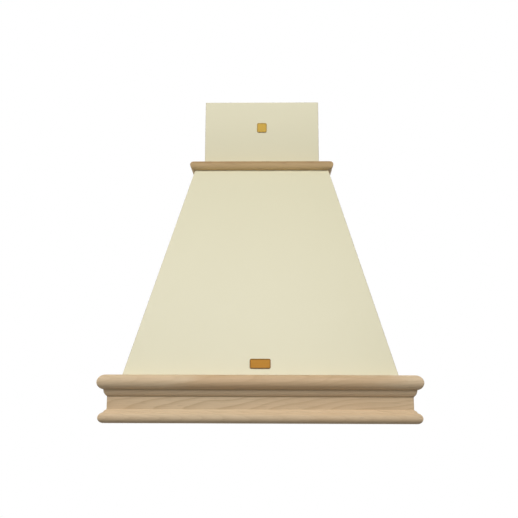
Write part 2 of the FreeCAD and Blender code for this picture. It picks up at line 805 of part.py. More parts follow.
def motor():
    """Motor can inside the wheel, held by three arms on the casing's right side."""
    ahead, side = Vector(1, 0, 0), Vector(scroll_width / 2, 0, 0)
    back = wheel_sheet / 2 + motor_gap
    pieces = cylinder(motor_radius, Vector(back, 0, 0), ahead, side.x - back)
    pieces = pieces.fuse(cylinder(motor_boss_radius, side, ahead, motor_arm_sheet))
    reach, w = inlet_radius + motor_arm, motor_arm / 2
    for i in range(motor_arm_count):
        arm = block(side.x, side.x + motor_arm_sheet, -w, w, 0, reach)
        arm.rotate(Vector(0, 0, 0), ahead, 360.0 * i / motor_arm_count)
        pieces = pieces.fuse(arm)
    length = side.x + motor_arm_sheet + 2 * past
    pieces = pieces.cut(cylinder(shaft_radius + shaft_clearance, Vector(0, 0, 0), ahead, length))
    pieces = pieces.removeSplitter()
    pieces.translate(wheel_centre)
    start = wheel_centre - ahead * (hub_length + shaft_end)
    shaft_length = hub_length + 2 * shaft_end + side.x + motor_arm_sheet
    return {"fan_motor": pieces, "motor_shaft": cylinder(shaft_radius, start, ahead, shaft_length)}


def fan_wheel():
    """Double-inlet wheel: a middle disc with its hub, an end ring on each side, and
    forward-curved blades crimped between the rings and the disc."""
    ahead = Vector(1, 0, 0)
    half, t, bore = wheel_width / 2, wheel_sheet, shaft_radius + shaft_clearance

    def ring(x, outer_radius, inner_radius, width):
        start = wheel_centre + ahead * x
        return cylinder(outer_radius, start, ahead, width).cut(cylinder(inner_radius, start, ahead, width))

    disc = ring(-t / 2, wheel_radius, bore, t)
    disc = disc.fuse(ring(-hub_length, hub_radius, bore, hub_length)).removeSplitter()
    end_ring = ring(half - t, wheel_radius, wheel_radius - blade_depth, t)
    blade = Part.Face(blade_outline(t / 2)).extrude(ahead * (half - 1.5 * t))
    blades = []
    for i in range(blade_count):
        copy = blade.copy()
        copy.rotate(Vector(0, 0, 0), ahead, 360.0 * i / blade_count)
        copy.translate(wheel_centre)
        blades += both_sides(copy)
    return {
        "wheel_disc": disc,
        "wheel_rings": Part.makeCompound(both_sides(end_ring)),
        "wheel_blades": Part.makeCompound(blades),
    }


def blade_outline(x):
    """Section of the blade above a wheel on the X axis: two arcs about one centre, hollow
    towards +Y, which is the way the wheel turns."""
    sweep, outer = math.radians(blade_sweep), wheel_radius - blade_margin
    root = Vector(x, 0, wheel_radius - blade_depth + blade_margin)
    tip = Vector(x, outer * math.sin(sweep), outer * math.cos(sweep))
    chord = tip - root
    ahead = chord.cross(Vector(1, 0, 0)).normalize()
    if ahead.y < 0:
        ahead = ahead * -1
    centre = (root + tip) * 0.5 + ahead * math.sqrt(blade_curve**2 - (chord.Length / 2) ** 2)
    bottom = centre - ahead * blade_curve
    share = (blade_curve - blade_sheet) / blade_curve
    back = [root, bottom, tip]
    face = [centre + (point - centre) * share for point in reversed(back)]
    sides = [Part.Arc(*back).toShape(), Part.Arc(*face).toShape()]
    ends = [Part.LineSegment(tip, face[0]).toShape(), Part.LineSegment(face[-1], root).toShape()]
    return Part.Wire([sides[0], ends[0], sides[1], ends[1]])


# ------------------------------------------------------------------ outlet
collar_bore = collar_radius - collar_wall
flap_z = blower_top_z + collar_flange_thickness + slide_gap


def outlet_collar():
    """Round outlet that the duct slips over.  Its flange reaches inside the wall as a ledge
    under the flaps, and the wall has the holes for their pin."""
    up, at = Vector(0, 0, 1), Vector(0, collar_y, blower_top_z)
    collar = cylinder(collar_radius, at, up, collar_height)
    collar = collar.cut(cylinder(collar_bore, at, up, collar_height))
    flange = cylinder(collar_radius + collar_flange, at, up, collar_flange_thickness)
    flange = flange.cut(cylinder(collar_bore - flap_ledge, at, up, collar_flange_thickness))
    reach = collar_radius + past
    pin_hole = cylinder(pin_radius + pin_clearance, flap_axis(-reach), Vector(0, 1, 0), 2 * reach)
    return {"outlet_collar": collar.fuse(flange).cut(pin_hole).removeSplitter()}


def flap_axis(along):
    """A point on the flaps' pin, measured along it from the collar's middle."""
    return Vector(0, collar_y + along, flap_z + flap_sheet / 2)


def flaps():
    """Two half-round flaps on one pin.  The left one has the outer barrels and the right
    one the middle barrel."""
    end = collar_bore - flap_ledge - flap_gap
    third = end / 3
    reach = collar_radius - slide_gap
    left = flap(-1, [(-end, -third - slide_gap), (third + slide_gap, end)])
    right = flap(1, [(-third, third)])
    pin = cylinder(pin_radius, flap_axis(-reach), Vector(0, 1, 0), 2 * reach)
    return {"flap_left": left, "flap_right": right, "flap_pin": pin}


def flap(side, barrels):
    """Half-round flap on side -1 or 1, with hinge barrels over the given stretches."""
    up, along, top = Vector(0, 0, 1), Vector(0, 1, 0), flap_z + flap_sheet
    radius = collar_bore - flap_gap
    plate = cylinder(radius, Vector(0, collar_y, flap_z), up, flap_sheet)
    plate = plate.common(block(0, side * radius, collar_y - radius, collar_y + radius, flap_z, top))
    plate = plate.cut(cylinder(barrel_radius + slide_gap, flap_axis(-radius), along, 2 * radius))
    for start, end in barrels:
        leaf = block(0, side * 2 * barrel_radius, collar_y + start, collar_y + end, flap_z, top)
        plate = plate.fuse(leaf).fuse(cylinder(barrel_radius, flap_axis(start), along, end - start))
    bore = cylinder(pin_radius + pin_clearance, flap_axis(-radius), along, 2 * radius)
    return plate.cut(bore).removeSplitter()


def terminal_box():
    """Mains connection box on the blower box, with a hexagonal cable gland on top."""
    inset, w, up = chimney_board + gland_setback, terminal_width / 2, Vector(0, 0, 1)
    x, y, top = inset - chimney_width / 2, inset - chimney_depth, blower_top_z + terminal_height
    box = rounded_block(x - w, x + w, y - w, y + w, blower_top_z, top, terminal_corner)
    turns = [math.radians(60 * i) for i in range(6)]
    corners = [Vector(x + gland_radius * math.cos(a), y + gland_radius * math.sin(a), top) for a in turns]
    bore = cylinder(gland_bore, Vector(x, y, top), up, gland_length)
    return {"terminal_box": box, "cable_gland": prism(corners, up * gland_length).cut(bore)}


# ------------------------------------------------------------------ assembly
groups = [
    canopy,
    chimney,
    corner_battens,
    back_frame,
    cleats,
    neck_guides,
    skirt,
    base,
    cornice,
    neck_moulding,
    plates,
    fascia,
    tray,
    filters,
    lamps,
    switches,
    blower_box,
    scroll,
    motor,
    fan_wheel,
    outlet_collar,
    flaps,
    terminal_box,
]


def main():
    os.makedirs("parts", exist_ok=True)
    for group in groups:
        for name, shape in group().items():
            shape.exportStep(f"parts/{name}.step")
            print(f"{name}: {len(shape.Solids)} solids, {shape.Volume / 1000:.1f} cm3, {shape.isValid()}")


main()
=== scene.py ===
"""Painted wooden range hood cover with bare wood mouldings, dressed over its CAD frame.

Metres, unless a comment says millimetres.  X runs across the hood, the wall is the plane
y = 0 with the hood on its -Y side, and z = 0 is the level of the cornice's underside.
"""

import math
import random

import bmesh
import bpy
from mathutils import Euler, Matrix, Vector


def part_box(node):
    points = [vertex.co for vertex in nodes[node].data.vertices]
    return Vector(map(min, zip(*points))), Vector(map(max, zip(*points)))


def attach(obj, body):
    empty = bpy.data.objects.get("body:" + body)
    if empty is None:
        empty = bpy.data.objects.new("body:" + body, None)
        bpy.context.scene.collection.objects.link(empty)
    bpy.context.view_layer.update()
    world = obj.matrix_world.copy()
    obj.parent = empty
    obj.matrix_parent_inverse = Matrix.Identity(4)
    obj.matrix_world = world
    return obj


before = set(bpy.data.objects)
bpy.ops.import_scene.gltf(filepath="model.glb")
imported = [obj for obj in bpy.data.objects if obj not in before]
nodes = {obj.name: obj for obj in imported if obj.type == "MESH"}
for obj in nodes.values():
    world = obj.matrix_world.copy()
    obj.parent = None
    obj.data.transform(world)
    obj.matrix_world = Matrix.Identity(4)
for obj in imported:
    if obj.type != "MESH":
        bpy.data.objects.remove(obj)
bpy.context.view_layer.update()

MM = 0.001
SIDES = ("left", "right")
FRONT, LEFT, RIGHT = Vector((0, -1, 0)), Vector((-1, 0, 0)), Vector((1, 0, 0))
UP, DOWN = Vector((0, 0, 1)), Vector((0, 0, -1))


def middle(name):
    """The middle of a node's box."""
    low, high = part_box(name)
    return (Vector(low) + Vector(high)) / 2


def corners(name):
    """A node's lowest and highest corners in millimetres."""
    return [Vector(corner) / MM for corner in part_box(name)]


def spaced(start, end, count):
    """Evenly spaced levels from start to end."""
    return [start + (end - start) * i / (count - 1) for i in range(count)]


# ---------------------------------------------------------------- node graphs


class Graph:
    """The node tree of a material or world, built by calls that each add a node and return
    one of its outputs."""

    def __init__(self, owner):
        self.owner = owner
        owner.use_nodes = True
        self.tree = owner.node_tree
        self.tree.nodes.clear()

    def add(self, kind, inputs=None, output=0, **settings):
        """inputs holds links and values by the sockets' names or numbers, and output is the
        name or number of the socket that comes back."""
        node = self.tree.nodes.new("ShaderNode" + kind)
        for key, value in settings.items():
            setattr(node, key, value)
        for key, value in (inputs or {}).items():
            if isinstance(value, bpy.types.NodeSocket):
                self.tree.links.new(value, node.inputs[key])
            else:
                node.inputs[key].default_value = value
        return node.outputs[output] if node.outputs else None

    def point(self):
        """The shaded point in metres, on coordinates that move with the piece."""
        return self.add("TexCoord", output="Object")

    def stretch(self, vector, scale=(1, 1, 1), turn=(0, 0, 0), shift=(0, 0, 0)):
        inputs = {"Vector": vector, "Scale": scale, "Rotation": turn, "Location": shift}
        return self.add("Mapping", inputs)

    def noise(self, vector, scale=1.0, detail=2.0, roughness=0.5):
        inputs = {"Vector": vector, "Scale": scale, "Detail": detail, "Roughness": roughness}
        return self.add("TexNoise", inputs)

    def calc(self, operation, a, b=0.0):
        return self.add("Math", {0: a, 1: b}, operation=operation)

    def band(self, value, low, high, start=0.0, end=1.0):
        """start to end while value goes from low to high, and level outside."""
        inputs = {"Value": value, "From Min": low, "From Max": high, "To Min": start, "To Max": end}
        return self.add("MapRange", inputs)

    def sway(self, noise, reach):
        """A noise as a drift of up to reach either way."""
        return self.band(noise, 0.2, 0.8, -reach, reach)

    def mix(self, share, a, b, blend="MIX"):
        """Colour a changed by colour b.  The node has sockets of one name for each type of data,
        so those for colours go by their numbers."""
        inputs = {0: share, 6: a, 7: b}
        return self.add("Mix", inputs, 2, data_type="RGBA", blend_type=blend)

    def bump(self, height, depth, strength):
        return self.add("Bump", {"Height": height, "Distance": depth, "Strength": strength})

    def finish(self, **inputs):
        """Ends a material with its surface shader.  Underscores stand for spaces in the names
        of the shader's sockets."""
        named = {key.replace("_", " "): value for key, value in inputs.items()}
        shader = self.add("BsdfPrincipled", named)
        self.add("OutputMaterial", {"Surface": shader})
        return self.owner


def new_material(name):
    return Graph(bpy.data.materials.new(name))


def tint(r, g, b):
    return (r, g, b, 1.0)


def shade(colour, factor):
    return tint(*[min(1.0, c * factor) for c in colour[:3]])


# ---------------------------------------------------------------- wood

QUARTER = math.pi / 2
GRAIN_TURN = {"x": (0, 0, 0), "y": (0, 0, -QUARTER), "z": (0, QUARTER, 0)}  # brings grain onto X


def growth_rings(g, board, wander, ripple, pith, lean, ring):
    """Late wood from 0 to 1, in rings about a leaning line.  pith holds how far the line passes
    behind and above the board's middle.  Each ring darkens slowly and ends at once."""
    wander_reach, ripple_reach, sharpness = 0.007, 0.0008, 1.8
    early_end, late_end, ring_end = 0.25, 0.88, 0.99
    behind, above = pith
    leaned = g.stretch(board, turn=(0, 0, lean), shift=(0, -behind, -above))
    radius = g.add("VectorMath", {0: g.stretch(leaned, (0, 1, 1))}, "Value", operation="LENGTH")
    radius = g.calc("ADD", radius, g.sway(wander, wander_reach))
    radius = g.calc("ADD", radius, g.sway(ripple, ripple_reach))
    phase = g.calc("FRACT", g.calc("DIVIDE", radius, ring))
    darkening = g.band(phase, early_end, late_end)
    late = g.calc("MULTIPLY", darkening, g.band(phase, late_end, ring_end, 1.0, 0.0))
    return g.calc("POWER", late, sharpness)


def calmed(g, late, level, low, high):
    """Rings that show less below the level low and above the level high."""
    fade_below, fade_above, least = 0.003, 0.006, 0.42
    above = g.band(level, low - fade_below, low)
    below = g.band(level, high, high + fade_above, 1.0, 0.0)
    inside = g.calc("MULTIPLY", above, below)
    return g.calc("MULTIPLY", late, g.band(inside, 0.0, 1.0, least, 1.0))


def heartwood(g, colour, board, level, ripple, centre, half_length):
    """A redder stretch along the top bead, with soft and uneven ends."""
    fade, uneven, bead_foot, bead_shoulder = 0.08, 0.04, 0.058, 0.066
    redness = tint(0.89, 0.82, 0.75)
    along = g.add("SeparateXYZ", {0: board}, "X")
    away = g.calc("ABSOLUTE", g.calc("SUBTRACT", along, centre))
    away = g.calc("ADD", away, g.band(ripple, 0.3, 0.7, -uneven, uneven))
    share = g.band(away, half_length, half_length + fade, 1.0, 0.0)
    share = g.calc("MULTIPLY", share, g.band(level, bead_foot, bead_shoulder))
    return g.mix(share, colour, redness, "MULTIPLY")


def painted_bounce_light(g, colour, level, wander, edge, reach, pale):
    """A paler colour painted below the level edge, as painted light that stands in for light bounced up
    onto the lower part.  The change runs from reach below it to reach above.
    """
    drift, strength = 0.001, 0.75
    drifted = g.calc("ADD", level, g.sway(wander, drift))
    return g.mix(g.band(drifted, edge - reach, edge + reach, strength, 0.0), colour, pale)


def painted_quirk_shade(g, colour, level, quirk, quirk_shade_colour):
    """A darker line painted in a moulding's quirk, as painted shade where the moulding above keeps the
    light off.
    """
    core, rim, strength = 0.0003, 0.0019, 0.5
    away = g.calc("ABSOLUTE", g.calc("SUBTRACT", level, quirk))
    return g.mix(g.band(away, core, rim, strength, 0.0), colour, quirk_shade_colour)


def wood(name, axis, seed, centre, light, dark, warm, ring=0.0052, contrast=0.5, fleck=0.5,
         pith=None, lean=None, quirks=(), heart=None, bounce=None, calm=None):
    """Planed wood with its grain along an axis: growth rings, long fibres, short dark flecks
    and warm clouds.  centre is the board's middle.  pith and lean place the rings' line, and
    come from the seed if they aren't given.  quirks are the levels where a darker line is
    painted as shade, heart is the middle and half length of a redder stretch, bounce is the
    level, reach and colour of a lighter lower part painted as light bounced up onto it, and
    calm holds the two levels that the clear rings lie between."""
    g = new_material(name)
    rng = random.Random(seed)
    shift = [rng.uniform(-3, 3) for _ in range(3)]
    pith = pith or (rng.uniform(0.035, 0.07), rng.uniform(-0.03, 0.03))
    lean = lean or rng.uniform(0.03, 0.08) * rng.choice((-1, 1))
    turn = GRAIN_TURN[axis]
    board = g.stretch(g.point(), turn=turn, shift=-(Euler(turn).to_matrix() @ centre))
    spot = g.stretch(board, shift=shift)
    level = g.add("SeparateXYZ", {0: g.point()}, "Z")

    wander = g.noise(g.stretch(spot, (5, 16, 16)), detail=1.5)
    ripple = g.noise(g.stretch(spot, (14, 60, 60)), detail=2)
    fibre = g.noise(g.stretch(spot, (9, 520, 520)), detail=4, roughness=0.6)
    flecks = g.band(g.noise(g.stretch(spot, (45, 2400, 2400)), detail=2), 0.62, 0.74)
    cloud = g.band(g.noise(g.stretch(spot, (3.2, 15, 15)), detail=2), 0.48, 0.74)
    late = growth_rings(g, board, wander, ripple, pith, lean, ring)
    if calm:
        late = calmed(g, late, level, *calm)

    colour = g.mix(g.calc("MULTIPLY", late, contrast), light, dark)
    colour = g.mix(g.calc("MULTIPLY", cloud, 0.55), colour, warm)
    colour = g.mix(g.band(fibre, 0.3, 0.7, 0.0, 0.22), colour, shade(dark, 0.86))
    colour = g.mix(g.calc("MULTIPLY", flecks, fleck), colour, shade(dark, 0.62))
    if heart:
        colour = heartwood(g, colour, board, level, ripple, *heart)
    # painted light: the lower part made paler where light bounced up from below would reach it
    if bounce:
        colour = painted_bounce_light(g, colour, level, wander, *bounce)
    # painted shade: darker lines along the quirks, under the top bead and under the ovolo
    for quirk in quirks:
        colour = painted_quirk_shade(g, colour, level, quirk, shade(dark, 0.45))

    rough = g.band(fibre, 0.3, 0.7, 0.5, 0.66)
    height = g.calc("SUBTRACT", g.calc("SUBTRACT", fibre, g.calc("MULTIPLY", flecks, 0.8)), late)
    normal = g.bump(height, 0.00008, 0.55)
    return g.finish(Base_Color=colour, Roughness=rough, Normal=normal, Specular_IOR_Level=0.3)


# ---------------------------------------------------------------- other materials


def paint(name, colour):
    """Satin paint rolled over board: a faint orange peel, soft level drift and tiny nibs."""
    g = new_material(name)
    point = g.point()
    drift = g.noise(g.stretch(point, (2.2, 2.2, 1.4)), detail=2)
    peel = g.noise(point, 420, detail=2, roughness=0.4)
    roller = g.noise(g.stretch(point, (60, 60, 26)), detail=3)
    nibs = g.band(g.noise(point, 900, detail=1), 0.74, 0.8)
    shown = g.mix(g.band(drift, 0.3, 0.7), shade(colour, 0.985), shade(colour, 1.012))
    rough = g.band(roller, 0.3, 0.7, 0.4, 0.43)
    normal = g.bump(g.calc("ADD", peel, nibs), 0.00006, 0.5)
    return g.finish(Base_Color=shown, Roughness=rough, Normal=normal)


def fibreboard(name):
    """Bare pressed board on the hidden faces: short felted fibres and darker specks."""
    g = new_material(name)
    point = g.point()
    fibres = g.noise(point, 700, detail=5, roughness=0.7)
    specks = g.band(g.noise(point, 1500, detail=1), 0.64, 0.72)
    drift = g.noise(point, 9, detail=2)
    colour = g.mix(g.band(fibres, 0.3, 0.7), tint(0.31, 0.205, 0.125), tint(0.43, 0.30, 0.19))
    colour = g.mix(g.band(drift, 0.3, 0.7, 0.0, 0.25), colour, tint(0.36, 0.25, 0.15))
    colour = g.mix(g.calc("MULTIPLY", specks, 0.6), colour, tint(0.15, 0.09, 0.05))
    return g.finish(Base_Color=colour, Roughness=0.82, Normal=g.bump(fibres, 0.00012, 0.5))


def brushed(name, colour, scale, rough=(0.24, 0.42), metal=1.0):
    """Brushed metal: long fine scratches along the axis whose scale is smallest."""
    g = new_material(name)
    point = g.point()
    lines = g.noise(g.stretch(point, scale), detail=4, roughness=0.65)
    smear = g.noise(point, 14, detail=2)
    shown = g.mix(g.band(lines, 0.3, 0.7), shade(colour, 0.88), shade(colour, 1.08))
    shown = g.mix(g.band(smear, 0.45, 0.75, 0.0, 0.12), shown, shade(colour, 0.8))
    roughness = g.band(lines, 0.3, 0.7, *rough)
    normal = g.bump(lines, 0.00002, 0.6)
    return g.finish(Base_Color=shown, Metallic=metal, Roughness=roughness, Normal=normal)


def galvanised(name):
    """Zinc-coated sheet with its angular spangle and a dull bloom."""
    g = new_material(name)
    point = g.point()
    spangle = g.add("TexVoronoi", {"Vector": point, "Scale": 130}, "Color")
    grey = g.add("SeparateColor", {"Color": spangle})
    bloom = g.noise(point, 25, detail=4)
    colour = g.mix(grey, tint(0.42, 0.44, 0.46), tint(0.62, 0.64, 0.66))
    colour = g.mix(g.band(bloom, 0.45, 0.75, 0.0, 0.4), colour, tint(0.50, 0.51, 0.52))
    rough = g.band(grey, 0.0, 1.0, 0.34, 0.52)
    normal = g.bump(bloom, 0.00005, 0.4)
    return g.finish(Base_Color=colour, Metallic=0.9, Roughness=rough, Normal=normal)


def plastic(name, colour, rough=0.45, grain=1400):
    """Moulded plastic or enamel with a fine stipple and a little dust."""
    g = new_material(name)
    point = g.point()
    stipple = g.noise(point, grain, detail=2)
    dust = g.noise(point, 30, detail=3)
    shown = g.mix(g.band(dust, 0.45, 0.8, 0.0, 0.5), colour, shade(colour, 1.35))
    roughness = g.band(dust, 0.3, 0.7, rough - 0.05, rough + 0.08)
    return g.finish(Base_Color=shown, Roughness=roughness, Normal=g.bump(stipple, 0.00005, 0.5))


def felt_cloth(name):
    """Pressed grey felt."""
    g = new_material(name)
    fuzz = g.noise(g.point(), 1300, detail=5, roughness=0.8)
    colour = g.mix(g.band(fuzz, 0.3, 0.7), tint(0.10, 0.095, 0.085), tint(0.22, 0.21, 0.19))
    return g.finish(Base_Color=colour, Roughness=0.95, Normal=g.bump(fuzz, 0.0003, 0.8))


def frosted(name):
    """Frosted glass."""
    g = new_material(name)
    frost = g.noise(g.point(), 900, detail=2)
    return g.finish(
        Base_Color=tint(0.93, 0.95, 0.96),
        Roughness=g.band(frost, 0.3, 0.7, 0.3, 0.5),
        Transmission_Weight=0.75,
        IOR=1.46,
        Normal=g.bump(frost, 0.00005, 0.5),
    )


WOOD = {
    "light": tint(0.765, 0.59, 0.385),
    "dark": tint(0.50, 0.35, 0.195),
    "warm": tint(0.73, 0.51, 0.30),
}
NECK = {
    "light": tint(0.43, 0.283, 0.128),
    "dark": tint(0.30, 0.178, 0.08),
    "warm": tint(0.41, 0.255, 0.115),
}
PINE = {
    "light": tint(0.72, 0.56, 0.34),
    "dark": tint(0.48, 0.28, 0.12),
    "warm": tint(0.66, 0.46, 0.25),
}
LINES_ALONG_X, LINES_ALONG_Y, LINES_ALL_WAYS = (6, 700, 700), (700, 6, 700), (300, 300, 300)
SHORT_LINES = (30, 900, 900)
AMBER = {"scale": SHORT_LINES, "rough": (0.5, 0.62), "metal": 0.75}
BRASS = {"scale": SHORT_LINES, "rough": (0.45, 0.6), "metal": 0.8}

cream = paint("cream_paint", tint(0.74, 0.695, 0.483))
raw_board = fibreboard("raw_board")
steel = brushed("brushed_steel", tint(0.60, 0.60, 0.60), LINES_ALONG_X)
baffle_steel = brushed("brushed_steel_baffles", tint(0.58, 0.58, 0.58), LINES_ALONG_Y)
zinc = galvanised("galvanised_sheet")
bright = brushed("zinc_plate", tint(0.70, 0.71, 0.72), LINES_ALL_WAYS, (0.2, 0.34))
amber = brushed("amber_brass", tint(0.25, 0.114, 0.0115), **AMBER)
amber_edge = brushed("amber_brass_edge", tint(0.13, 0.062, 0.012), **AMBER)
brass = brushed("yellow_brass", tint(0.29, 0.186, 0.031), **BRASS)
brass_edge = brushed("yellow_brass_edge", tint(0.22, 0.14, 0.026), **BRASS)
black = plastic("black_plastic", tint(0.022, 0.022, 0.023))
silver = plastic("button_silver", tint(0.42, 0.42, 0.43), 0.35, 2500)
enamel = plastic("motor_enamel", tint(0.03, 0.032, 0.036), 0.4, 500)
felt = felt_cloth("felt")
glass = frosted("frosted_lens")

# ---------------------------------------------------------------- dressing CAD nodes


def set_materials(obj, *materials):
    obj.data.materials.clear()
    for material in materials:
        obj.data.materials.append(material)


def soften(obj, width, segments=2):
    """Rounds a CAD node's arrises by modifiers.  Welding joins its facets and the dissolve makes
    each flat face one, so that only true edges are bevelled."""
    weld_reach, flat_angle, arris_angle = 0.000005, 0.6, 28
    normals = obj.data.attributes.get("custom_normal")
    if normals:
        obj.data.attributes.remove(normals)
    obj.data.shade_smooth()
    weld = obj.modifiers.new("weld", "WELD")
    weld.merge_threshold = weld_reach
    flat = obj.modifiers.new("flat", "DECIMATE")
    flat.decimate_type = "DISSOLVE"
    flat.angle_limit = math.radians(flat_angle)
    arris = obj.modifiers.new("arris", "BEVEL")
    arris.width = width
    arris.segments = segments
    arris.limit_method = "ANGLE"
    arris.angle_limit = math.radians(arris_angle)
    arris.miter_outer = "MITER_ARC"
    arris.harden_normals = True
    weighted = obj.modifiers.new("weighted", "WEIGHTED_NORMAL")
    weighted.keep_sharp = True
    weighted.weight = 100


def coat(names, material, width=0.0):
    """Gives CAD nodes a material, and rounded arrises if width isn't zero."""
    for name in names:
        set_materials(nodes[name], material)
        if width:
            soften(nodes[name], width)


def facing(obj, outward, angle):
    """The faces whose normals lie within angle degrees of outward."""
    least = math.cos(math.radians(angle))
    return [face for face in obj.data.polygons if face.normal.dot(outward) > least]


def paint_outside(name, outward):
    """Paint on the outer faces, which may slope, and bare board on the others."""
    obj = nodes[name]
    set_materials(obj, cream, raw_board)
    painted = facing(obj, outward, 60)
    for face in obj.data.polygons:
        face.material_index = 0 if face in painted else 1
    soften(obj, 0.0009)


def two_tone(name, outward, field, border):
    """A plate's recessed field in one finish and its raised border in a darker one."""
    least_step = 0.2 * MM  # less than the recess is deep
    obj = nodes[name]
    set_materials(obj, field, border)
    ahead = facing(obj, outward, 25)
    top = max(face.center.dot(outward) for face in ahead)
    for face in obj.data.polygons:
        sunk = face in ahead and face.center.dot(outward) < top - least_step
        face.material_index = 0 if sunk else 1
    soften(obj, 0.00012, 1)


for part in ("canopy", "chimney"):
    for side, outward in (("front", FRONT), ("left", LEFT), ("right", RIGHT)):
        paint_outside(f"{part}_{side}_board", outward)

# bare mouldings: quirks and calm are levels on the cornice, and heart starts with its distance
# from the board's middle
# levels on the cornice where a darker line is painted as shade, under the top bead and under the ovolo
QUIRKS = (0.0608, 0.0483)
FRONT_FIGURE = {
    "pith": (0.052, -0.03),
    "lean": 0.1,
    "contrast": 0.55,
    "quirks": QUIRKS,
    "heart": (0.045, 0.13),
    "calm": (0.027, 0.048),
}
# the neck strips are painted paler on their lower part, as painted light bounced up from the canopy below
bounce_edge = corners("neck_moulding_front")[0].z * MM + 0.0085
NECK_BOUNCE_LIGHT = {"bounce": (bounce_edge, 0.006, tint(0.84, 0.61, 0.33))}
mouldings = (
    ("cornice_front", "x", 11, WOOD, FRONT_FIGURE),
    ("cornice_left", "y", 12, WOOD, {"quirks": QUIRKS}),
    ("cornice_right", "y", 13, WOOD, {"quirks": QUIRKS}),
    ("neck_moulding_front", "x", 21, NECK, NECK_BOUNCE_LIGHT),
    ("neck_moulding_left", "y", 22, NECK, NECK_BOUNCE_LIGHT),
    ("neck_moulding_right", "y", 23, NECK, NECK_BOUNCE_LIGHT),
)
for name, axis, seed, colours, figure in mouldings:
    coat([name], wood(name, axis, seed, middle(name), **colours, **figure), 0.0006)

# softwood battens, rails, cleats and skirt boards, with the grain along their length
softwood = (
    (("corner_battens",), "z", 31),
    (("back_stiles",), "z", 32),
    (("back_rail", "skirt_back_rail"), "x", 33),
    (("hanging_cleat",), "x", 34),
    (("wall_cleat",), "x", 35),
    (("neck_guides",), "z", 36),
    (("chimney_back_rails",), "x", 37),
    (("chimney_stop_cleats", "base_cleats"), "y", 38),
    (("skirt_front_board",), "x", 39),
    (("skirt_left_board", "skirt_right_board"), "y", 40),
)
for names, axis, seed in softwood:
    centre = middle(names[0])
    pine = wood(f"pine_{seed}", axis, seed, centre, **PINE, ring=0.0038, contrast=0.75, fleck=0.15)
    coat(names, pine, 0.0008)

coat(["base_board"], raw_board, 0.0008)
coat(["neck_felts"], felt, 0.0003)
coat(["insert_tray"], steel, 0.0004)
coat([f"filter_baffles_{side}" for side in SIDES], baffle_steel, 0.00025)
coat([f"filter_latch_{side}" for side in SIDES], bright, 0.0004)
coat(["lamp_cans"], bright, 0.0004)
coat(["lamp_lenses"], glass, 0.0004)
coat(["terminal_box", "cable_gland"], black, 0.0003)
coat([f"button_{i}" for i in range(1, 6)], silver, 0.0003)
coat(["blower_box", "scroll_wrap", "scroll_side_plates", "outlet_collar"], zinc, 0.0004)
coat(["flap_left", "flap_right", "wheel_disc", "wheel_rings", "wheel_blades"], zinc, 0.0003)
coat(["fan_motor"], enamel, 0.0006)
coat(["motor_shaft", "flap_pin"], bright, 0.0003)
# these keep sharp edges, because soften breaks flat faces that have windows in them
coat(["insert_fascia", "filter_frame_left", "filter_frame_right"], steel)
coat(["switch_block"], black)

canopy_faces = nodes["canopy_front_board"].data.polygons
slope = max(canopy_faces, key=lambda face: -face.normal.y * face.area)
two_tone("canopy_plate", slope.normal.copy(), amber, amber_edge)
two_tone("chimney_badge", FRONT, brass, brass_edge)

# ---------------------------------------------------------------- mesh helpers, in millimetres


def circle(bm, radius, height, steps=20):
    turns = [2 * math.pi * i / steps for i in range(steps)]
    return [bm.verts.new((radius * math.cos(a), radius * math.sin(a), height)) for a in turns]


def skin(bm, rings):
    """Quads between neighbouring rings of equally many points."""
    for low, high in zip(rings, rings[1:]):
        for i in range(len(low)):
            bm.faces.new((low[i - 1], low[i], high[i], high[i - 1]))


def as_mesh(bm):
    bmesh.ops.recalc_face_normals(bm, faces=bm.faces)
    mesh = bpy.data.meshes.new("template")
    bm.to_mesh(mesh)
    bm.free()
    return mesh


def turned(profile, steps=20, closed=True):
    """A mesh turned about Z from (radius, height) points, capped at both ends if closed."""
    bm = bmesh.new()
    rings = [circle(bm, radius * MM, height * MM, steps) for radius, height in profile]
    skin(bm, rings)
    if closed:
        bm.faces.new(reversed(rings[0]))
        bm.faces.new(rings[-1])
    return as_mesh(bm)


def place_at(x, y, z, way, spin=0.0):
    """A place at (x, y, z), whose Z axis looks along way, turned by spin degrees."""
    turn = way.to_track_quat("Z", "Y").to_matrix().to_4x4()
    return Matrix.Translation(Vector((x, y, z)) * MM) @ turn @ Matrix.Rotation(math.radians(spin), 4, "Z")


def scatter(name, template, places, body, material, smooth=True):
    """Copies of a template joined into one piece.  places are 4 by 4 matrices."""
    bm = bmesh.new()
    for place in places:
        start = len(bm.verts)
        bm.from_mesh(template)
        bm.verts.ensure_lookup_table()
        bmesh.ops.transform(bm, matrix=place, verts=bm.verts[start:])
    mesh = bpy.data.meshes.new(name)
    bm.to_mesh(mesh)
    bm.free()
    mesh.materials.append(material)
    if smooth:
        mesh.shade_smooth()
        mesh.set_sharp_from_angle(angle=math.radians(38))
    piece = bpy.data.objects.new(name, mesh)
    bpy.context.scene.collection.objects.link(piece)
    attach(piece, body)


# ---------------------------------------------------------------- screws, rivets and lamps


